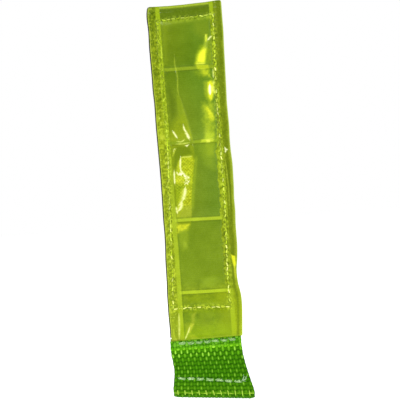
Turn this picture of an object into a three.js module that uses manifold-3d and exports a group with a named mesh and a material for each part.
// Reflective wristband, laid out straight: five welded film panels on a soft lining,
// a folded webbing tab at the lower end and a hook tape behind the upper panel.
//
// Frame: +Z runs up the band (towards the hook-tape end), +X across it, to the right as seen
// from the front. The reflective front faces -Y, the skin side lies at y = 0. Millimetres.
// "s" is the distance from the top end down the band, "n" the distance out from the skin
// side towards the front: a point is (x, -n, Z_TOP - s).
import * as THREE from "three";
import { mergeVertices } from "three/addons/utils/BufferGeometryUtils.js";
import Module from "manifold-3d";

// ---------------------------------------------------------------- band dimensions
const Z_TOP = 106.3; // z of the top end (s = 0)
const FOLD_LINES = [34.4, 74.3, 116.1, 155.3, 179.2]; // s: four welds, and just above the tab
const HINGE_GAP = 0.2; // each panel stops this far from the fold line
const PANEL_COUNT = FOLD_LINES.length;

// edges of the band, [s, x]
const LEFT_EDGE = [
  [0, -20.0], [2.5, -20.5], [22, -20.25], [48, -19.75], [74, -19.5], [100, -19.2],
  [126, -19.25], [139, -19.75], [152, -20.0], [162, -20.3], [175, -20.05], [185, -20.3],
];
const RIGHT_EDGE = [
  [0, 20.6], [5.4, 20.5], [25, 20.3], [51, 19.75], [77, 19.85], [103, 20.0], [129, 19.7],
  [141.7, 18.9], [148, 18.4], [154.7, 19.2], [164.5, 20.05], [177.4, 19.2], [185, 18.6],
];
const FILM_INSET_LEFT = 0.6; // the lining stands proud of the film on the left
const LINING_INSET_RIGHT = 0.9; // and stays under it on the right

// layers, [n of the skin-side face, n of the front face]
const LINING = [0, 1.4];
const REAR_FILM = [1.45, 1.8];
const FRONT_FILM = [1.85, 2.25];

// ---------------------------------------------------------------- puffed cell dimensions
const CELL_RISE = 0.8; // how far the cells stand above the weld
const FILM_WALL = 0.4;
const CELL_RADIUS = 3.0; // corner at the foot of a cell, on the front face of the film
const CELL_RADIUS_INSIDE = 2.7; // and on its back face
const RADIUS_LOSS = 0.6; // corner radius lost per millimetre of inset
const FULL_CELL_LENGTH = 13; // a shorter cell gets a tighter shoulder and corner
const CORNER_STEPS = 3;
const CELL_SHOULDER = [[0, 0], [0.5, 0.45], [1.3, 0.8], [2.6, 1]]; // [inset, share of the rise]

const aboveFold = (fold) => FOLD_LINES[fold - 1] - 1.2;
const belowFold = (fold) => FOLD_LINES[fold - 1] + 1.3;
// left and right are x, top and bottom are s
const CELLS = [
  { panel: 1, left: -12.4, right: 12.9, top: 10.4, bottom: aboveFold(1) },
  { panel: 2, left: -12.4, right: 12.9, top: belowFold(1), bottom: aboveFold(2) },
  { panel: 3, left: -12.4, right: 12.9, top: belowFold(2), bottom: aboveFold(3) },
  { panel: 4, left: -12.6, right: 12.1, top: belowFold(3), bottom: aboveFold(4) },
  { panel: 5, left: -12.8, right: 12.1, top: belowFold(4), bottom: 162.3 },
  { panel: 5, left: -12.8, right: 12.9, top: 166.2, bottom: aboveFold(5) },
];

// ---------------------------------------------------------------- seam dimensions
// side seams, [s, x]
const SEAM_LEFT = [[8.3, -15.0], [70, -13.9], [108, -15.2], [146, -16.5], [164, -17.3]];
const SEAM_RIGHT = [[5.6, 15.5], [55, 14.3], [108, 14.6], [146, 13.4], [164, 13.4]];
// cross seams, left end and right end as [x, s]; the top one joins the side seams' upper ends
const SEAM_TOP = [SEAM_LEFT[0], SEAM_RIGHT[0]].map(([s, x]) => [x, s]);
const SEAM_BOTTOM = [[-17.3, 163.7], [13.4, 164.5]];
const SEAM_TOP_CLEARANCE = 1.3; // side seams start this far below the top seam
const SEAM_PANEL_CLEARANCE = 0.35; // and keep this far from the panel ends
const SEAM_END_LEFT = 162.8; // s where the side seams stop, above the bottom seam
const SEAM_END_RIGHT = 163.4;

const STITCH_PITCH = 2.4;
const NEEDLE_LAYER = [2.3, 2.65]; // lockstitch thread on the front
const BOBBIN_LAYER = [0.06, 0.38]; // lockstitch thread in the lining's groove
const NEEDLE_THREAD = { width: 0.75, pitch: STITCH_PITCH, pinch: 0.55 };
const BOBBIN_THREAD = { width: 0.6, pitch: STITCH_PITCH * 4, pinch: 0.8 };
// thread section: [share of the width, share of the height]
const THREAD_SECTION = [[-0.5, 0], [-0.32, 1], [0.32, 1], [0.5, 0]];
const PINCHED_HEIGHT = 0.55; // share of the thread's height left at a needle hole
// the groove cutter starts below the skin side and runs past both seam ends
const GROOVE = { depth: 0.62, width: 1.3, below: 0.5, overrun: 0.45 };

// ---------------------------------------------------------------- webbing tab dimensions
// edges of the tab, [s, x]
const TAB_LEFT = [
  [180.5, -20.3], [184.5, -20.5], [191, -19.9], [197.7, -19.3], [204, -20.2],
  [207.6, -20.7], [210.6, -20.4],
];
const TAB_RIGHT = [
  [180.5, 18.4], [187, 18.4], [193.6, 19.4], [200.2, 20.7], [206.8, 22.2], [210.6, 23.3],
];
const TAB_STEPS = 4; // steps across the tab
const TAB_TOP = 180.7; // upper edge of the front ply
const TAB_BACK_TOP = FOLD_LINES[4] + HINGE_GAP; // upper edge of the skin-side ply
const TAB_END = 211.6; // s of the bottom fold at the left
const TAB_BEND = TAB_END - 1.1; // where the plies turn into the round fold
const TAB_BEND_STEPS = 6;
const TAB_INNER_END = TAB_END - 1.3; // bottom of the gap between the plies
const TAB_SKEW = 3.9; // the right end hangs this much lower
const SKEW_START = 186; // s where the skew begins
const PLY = 1.0;
const BACK_PLY = [0.3, 0.3 + PLY];
const FRONT_PLY = [1.45, 1.45 + PLY];
const OVERLAP_END = TAB_TOP + 4.8; // the front ply is raised over the film ends down to here
const OVERLAP_RISE = 0.75;
const FILM_END = { bottom: OVERLAP_END - 1.0, insetLeft: 0.9, insetRight: 0.5, gap: 0.06 };

// stitch rows, left end and right end as [x, s]; n is where the needle thread lies
const TAB_ROWS = [
  {
    name: "upper",
    line: [[-16.2, 182.3], [15.4, 182.5]],
    n: FRONT_PLY[1] + OVERLAP_RISE + 0.05,
  },
  { name: "lower", line: [[-15.8, 201.4], [19.2, 205.1]], n: FRONT_PLY[1] + 0.08 },
];
const TAB_THREAD_HEIGHT = 0.38;
const TAB_BOBBIN_LAYER = [0, 0.25];
const TAB_NEEDLE_THREAD = { width: 1.3, pitch: 5.0, pinch: 0.4 };
const TAB_BOBBIN_THREAD = { width: 0.8, pitch: 5.0, pinch: 0.6 };

// ---------------------------------------------------------------- materials
function material(name, color, { roughness }) {
  const made = new THREE.MeshStandardMaterial({ color, roughness });
  made.name = name;
  return made;
}
const MATERIALS = {
  frontFilm: material("prismatic_pvc", 0x79991f, { roughness: 0.25 }),
  rearFilm: material("rear_film", 0x9db021, { roughness: 0.35 }),
  lining: material("lining_black", 0x23261f, { roughness: 0.95 }),
  hook: material("hook_black", 0x1b1d1a, { roughness: 0.6 }),
  webbing: material("webbing_green", 0x488a0e, { roughness: 0.85 }),
  limeThread: material("thread_lime", 0xb4d028, { roughness: 0.7 }),
  paleThread: material("thread_pale", 0xc4f2a8, { roughness: 0.7 }),
};

// ---------------------------------------------------------------- mesh helpers
const manifold = await Module();
manifold.setup();

const { lerp } = THREE.MathUtils;
const place = (x, s, n) => [x, -n, Z_TOP - s];
const atHeight = (outline, n) => outline.map(([x, s]) => place(x, s, n));

// x of an [s, x] table at s, held constant beyond its ends
function xAt(table, s) {
  const next = table.findIndex(([stationS]) => s <= stationS);
  if (next === 0) return table[0][1];
  if (next < 0) return table.at(-1)[1];
  const [s0, x0] = table[next - 1];
  const [s1, x1] = table[next];
  return lerp(x0, x1, (s - s0) / (s1 - s0));
}

// A closed mesh from loose triangles, turned face-out when its volume comes out negative.
function closed(triangles) {
  let volume = 0;
  for (const [a, b, c] of triangles) {
    volume += a[0] * (b[1] * c[2] - b[2] * c[1]);
    volume -= a[1] * (b[0] * c[2] - b[2] * c[0]);
    volume += a[2] * (b[0] * c[1] - b[1] * c[0]);
  }
  const positions = (volume > 0 ? triangles : flipped(triangles)).flat(2);
  const geometry = new THREE.BufferGeometry();
  return geometry.setAttribute("position", new THREE.Float32BufferAttribute(positions, 3));
}

const flipped = (triangles) => triangles.map(([a, b, c]) => [a, c, b]);

// band of triangles joining two rings of equal count
function strip(from, to) {
  return from.flatMap((point, i) => {
    const next = (i + 1) % from.length;
    return [[point, from[next], to[next]], [point, to[next], to[i]]];
  });
}

const toVectors = (outline) => outline.map(([u, v]) => new THREE.Vector2(u, v));

// Fills the first loop, less the others: index triples into the joined loops, all of them
// running the positive way round.
function fill(loops) {
  const [outline, ...holes] = loops.map(toVectors);
  const points = [outline, ...holes].flat();
  return THREE.ShapeUtils.triangulateShape(outline, holes).map(([a, b, c]) =>
    THREE.ShapeUtils.area([points[a], points[b], points[c]]) > 0 ? [a, b, c] : [a, c, b]);
}

// A stack of rings with the same number of points, capped at both ends; the section is the
// flat shape that the caps are filled from.
function loft(rings, section) {
  const triangles = rings.slice(1).flatMap((ring, i) => strip(rings[i], ring));
  const positive = THREE.ShapeUtils.area(toVectors(section)) > 0;
  const faces = positive ? fill([section]) : flipped(fill([section]));
  const cap = (ring) => faces.map((face) => face.map((i) => ring[i]));
  return closed([...triangles, ...flipped(cap(rings[0])), ...cap(rings.at(-1))]);
}

// flat sheet with any outline
function sheet(outline, [n0, n1]) {
  return loft([atHeight(outline, n0), atHeight(outline, n1)], outline);
}

function toSolid(geometry) {
  const merged = mergeVertices(geometry, 1e-4);
  return new manifold.Manifold(new manifold.Mesh({
    numProp: 3,
    vertProperties: merged.attributes.position.array,
    triVerts: new Uint32Array(merged.index.array),
  }));
}

function fromSolid(solid) {
  const mesh = solid.getMesh();
  const geometry = new THREE.BufferGeometry();
  const positions = new Float32Array(mesh.vertProperties);
  geometry.setAttribute("position", new THREE.BufferAttribute(positions, 3));
  geometry.setIndex(new THREE.BufferAttribute(new Uint32Array(mesh.triVerts), 1));
  return geometry.toNonIndexed();
}

function add(group, name, geometry, meshMaterial) {
  geometry.computeVertexNormals();
  const mesh = new THREE.Mesh(geometry, meshMaterial);
  mesh.name = name;
  group.add(mesh);
}

function addGroup(parent, name) {
  const group = new THREE.Group();
  group.name = name;
  parent.add(group);
  return group;
}

// ---------------------------------------------------------------- film and lining
// Outline in [x, s]: down the left edge and back up the right, each shifted in x. Table
// stations too close to the ends are skipped.
function stripOutline([s0, s1], left, right, shiftLeft, shiftRight) {
  const edge = (table, shift) => {
    const between = table.map(([s]) => s).filter((s) => s > s0 + 0.5 && s < s1 - 0.5);
    return [s0, ...between, s1].map((s) => [xAt(table, s) + shift, s]);
  };
  return [...edge(left, shiftLeft), ...edge(right, shiftRight).reverse()];
}

const filmOutline = (span) => stripOutline(span, LEFT_EDGE, RIGHT_EDGE, FILM_INSET_LEFT, 0);
const liningOutline = (span) =>
  stripOutline(span, LEFT_EDGE, RIGHT_EDGE, 0, -LINING_INSET_RIGHT);

// rounded rectangle in [x, s], set in from the sides of a cell
function cellRing({ left, right, top, bottom }, inset, radius) {
  const margin = inset + radius;
  const corners = [
    [right - margin, bottom - margin],
    [left + margin, bottom - margin],
    [left + margin, top + margin],
    [right - margin, top + margin],
  ];
  return corners.flatMap(([x, s], quarter) =>
    Array.from({ length: CORNER_STEPS + 1 }, (_, i) => {
      const angle = (quarter + i / CORNER_STEPS) * Math.PI / 2;
      return [x + radius * Math.cos(angle), s + radius * Math.sin(angle)];
    }));
}

// one face of the front film: flat at n, with a raised dome for each cell
function filmFace(outline, cells, { n, wall, footRadius }) {
  const plate = (loops, height) => {
    const points = atHeight(loops.flat(), height);
    return fill(loops).map((face) => face.map((i) => points[i]));
  };
  const domes = cells.map((cell) => {
    const fit = Math.min(1, (cell.bottom - cell.top) / FULL_CELL_LENGTH);
    return CELL_SHOULDER.map(([inset]) =>
      cellRing(cell, inset * fit + wall, (footRadius - inset * RADIUS_LOSS) * fit));
  });
  const triangles = plate([outline, ...domes.map((rings) => rings[0])], n);
  for (const rings of domes) {
    const raised = rings.map((ring, i) => atHeight(ring, n + CELL_SHOULDER[i][1] * CELL_RISE));
    raised.slice(1).forEach((ring, i) => triangles.push(...strip(raised[i], ring)));
    triangles.push(...plate([rings.at(-1)], n + CELL_RISE));
  }
  return triangles;
}

// film pressed into open-backed raised cells
function trayFilm(panelOutline, cells) {
  const outline = [...panelOutline].reverse(); // the same way round as the cell rings
  const [back, front] = FRONT_FILM;
  const outer = { n: front, wall: 0, footRadius: CELL_RADIUS };
  const inner = { n: back, wall: FILM_WALL, footRadius: CELL_RADIUS_INSIDE };
  return closed([
    ...strip(atHeight(outline, back), atHeight(outline, front)),
    ...filmFace(outline, cells, outer),
    ...flipped(filmFace(outline, cells, inner)),
  ]);
}

// ---------------------------------------------------------------- threads and grooves
const lineLength = ([start, end]) => Math.hypot(end[0] - start[0], end[1] - start[1]);

// a section of [sideways, n] points set square to a line, some distance along it
function sectionOn(line, distance, section) {
  const [start, end] = line;
  const length = lineLength(line);
  const alongX = (end[0] - start[0]) / length;
  const alongS = (end[1] - start[1]) / length;
  const x = start[0] + alongX * distance;
  const s = start[1] + alongS * distance;
  return section.map(([side, n]) => place(x - alongS * side, s + alongX * side, n));
}

// a thread between two heights, swelling between the needle holes and pinched at each one
function thread(line, [n0, n1], { width, pitch, pinch }) {
  const length = lineLength(line);
  const steps = Math.max(1, Math.round(length / pitch)) * 2;
  const rings = Array.from({ length: steps + 1 }, (_, i) => {
    const swollen = i % 2 === 1;
    const ringWidth = width * (swollen ? 1 : pinch);
    const top = lerp(n0, n1, swollen ? 1 : PINCHED_HEIGHT);
    const section = THREAD_SECTION.map(([side, up]) => [side * ringWidth, up ? top : n0]);
    return sectionOn(line, length * i / steps, section);
  });
  return loft(rings, THREAD_SECTION);
}

// cutter for the groove that a seam leaves in the skin side of the lining
function grooveCutter(line) {
  const { depth, width, below, overrun } = GROOVE;
  const half = width / 2;
  const section = [[-half, -below], [-half, depth], [half, depth], [half, -below]];
  const ends = [-overrun, lineLength(line) + overrun];
  return toSolid(loft(ends.map((distance) => sectionOn(line, distance, section)), section));
}

// ---------------------------------------------------------------- the five panels
// seams of one panel; the side seams stop clear of the cross seams
function panelSeams(panel, [s0, s1]) {
  const first = panel === 1;
  const last = panel === PANEL_COUNT;
  const sideSeam = (side, table, topSeamS, lastEnd) => {
    const start = first ? topSeamS + SEAM_TOP_CLEARANCE : s0 + SEAM_PANEL_CLEARANCE;
    const end = last ? lastEnd : s1 - SEAM_PANEL_CLEARANCE;
    return { name: `${side}_${panel}`, line: [start, end].map((s) => [xAt(table, s), s]) };
  };
  const seams = [
    sideSeam("left", SEAM_LEFT, SEAM_TOP[0][1], SEAM_END_LEFT),
    sideSeam("right", SEAM_RIGHT, SEAM_TOP[1][1], SEAM_END_RIGHT),
  ];
  if (first) seams.push({ name: "top", line: SEAM_TOP });
  if (last) seams.push({ name: "bottom", line: SEAM_BOTTOM });
  return seams;
}

// the layer on the skin side: hook tape on the first panel, soft lining on the others
function addLining(group, panel, span, seams) {
  let solid = toSolid(sheet(liningOutline(span), LINING));
  for (const { line } of seams) solid = solid.subtract(grooveCutter(line));
  const [name, layerMaterial] = panel === 1
    ? ["hook_tape", MATERIALS.hook]
    : [`lining_${panel}`, MATERIALS.lining];
  add(group, name, fromSolid(solid), layerMaterial);
}

function addPanel(band, panel) {
  const group = addGroup(band, `panel_${panel}`);
  const top = panel === 1 ? 0 : FOLD_LINES[panel - 2] + HINGE_GAP;
  const span = [top, FOLD_LINES[panel - 1] - HINGE_GAP];
  const outline = filmOutline(span);
  const cells = CELLS.filter((cell) => cell.panel === panel);
  const seams = panelSeams(panel, span);
  const { frontFilm, rearFilm, limeThread } = MATERIALS;

  add(group, `front_film_${panel}`, trayFilm(outline, cells), frontFilm);
  add(group, `rear_film_${panel}`, sheet(outline, REAR_FILM), rearFilm);
  addLining(group, panel, span, seams);
  for (const { name, line } of seams) {
    add(group, `stitch_${name}`, thread(line, NEEDLE_LAYER, NEEDLE_THREAD), limeThread);
    add(group, `bobbin_${name}`, thread(line, BOBBIN_LAYER, BOBBIN_THREAD), limeThread);
  }
}

// ---------------------------------------------------------------- the webbing tab
// Side view of the webbing in [s, n]: skin-side ply, round fold, front ply that climbs over
// the film ends, and back along the inside. The plies swell by a few hundredths.
function webbingProfile() {
  const [backSkin, backInner] = BACK_PLY;
  const [frontInner, frontFace] = FRONT_PLY;
  const middle = (backSkin + frontFace) / 2;
  const radius = (frontFace - backSkin) / 2;
  const bend = Array.from({ length: TAB_BEND_STEPS + 1 }, (_, i) => {
    const angle = (i / TAB_BEND_STEPS) * Math.PI;
    return [TAB_BEND + radius * Math.sin(angle), middle - radius * Math.cos(angle)];
  });
  return [
    [TAB_BACK_TOP, backSkin],
    [187, backSkin - 0.03],
    [192, backSkin - 0.04],
    [197.7, backSkin - 0.04],
    [204, backSkin - 0.02],
    ...bend,
    [204, frontFace + 0.02],
    [197.7, frontFace + 0.04],
    [192, frontFace + 0.04],
    [OVERLAP_END + 1.0, frontFace],
    [OVERLAP_END + 0.1, frontFace + OVERLAP_RISE * 0.8],
    [OVERLAP_END - 0.4, frontFace + OVERLAP_RISE],
    [TAB_TOP, frontFace + OVERLAP_RISE],
    [TAB_TOP, frontInner + OVERLAP_RISE],
    [OVERLAP_END - 0.7, frontInner + OVERLAP_RISE],
    [OVERLAP_END + 0.5, frontInner],
    [TAB_INNER_END, frontInner],
    [TAB_INNER_END, backInner],
    [TAB_BACK_TOP, backInner],
  ];
}

// the profile carried from the left edge to the right, dropping towards the right
function webbing() {
  const profile = webbingProfile();
  const skewAt = (s) => TAB_SKEW * Math.max(0, s - SKEW_START) / (TAB_END - SKEW_START);
  const rings = Array.from({ length: TAB_STEPS + 1 }, (_, i) => {
    const across = i / TAB_STEPS;
    return profile.map(([s, n]) =>
      place(lerp(xAt(TAB_LEFT, s), xAt(TAB_RIGHT, s), across), s + skewAt(s) * across, n));
  });
  return loft(rings, profile);
}

// cut ends of the two films, caught between the plies
function addFilmEnds(group) {
  const { bottom, insetLeft, insetRight, gap } = FILM_END;
  const span = [TAB_BACK_TOP, bottom];
  const outline = stripOutline(span, TAB_LEFT, TAB_RIGHT, insetLeft, -insetRight);
  const rear = [BACK_PLY[1] + gap, REAR_FILM[1]];
  const front = [FRONT_FILM[0], FRONT_PLY[0] + OVERLAP_RISE - gap];
  add(group, "film_end_rear", sheet(outline, rear), MATERIALS.rearFilm);
  add(group, "film_end_front", sheet(outline, front), MATERIALS.frontFilm);
}

function addTab(band) {
  const group = addGroup(band, "tab");
  add(group, "tab_webbing", webbing(), MATERIALS.webbing);
  addFilmEnds(group);
  for (const { name, line, n } of TAB_ROWS) {
    const needle = thread(line, [n, n + TAB_THREAD_HEIGHT], TAB_NEEDLE_THREAD);
    add(group, `tab_stitch_${name}`, needle, MATERIALS.paleThread);
  }
  for (const { name, line } of TAB_ROWS) {
    const bobbin = thread(line, TAB_BOBBIN_LAYER, TAB_BOBBIN_THREAD);
    add(group, `tab_bobbin_${name}`, bobbin, MATERIALS.paleThread);
  }
}

// ---------------------------------------------------------------- assembly
const wristband = new THREE.Group();
wristband.name = "wristband";
for (let panel = 1; panel <= PANEL_COUNT; panel++) addPanel(wristband, panel);
addTab(wristband);

export default wristband;
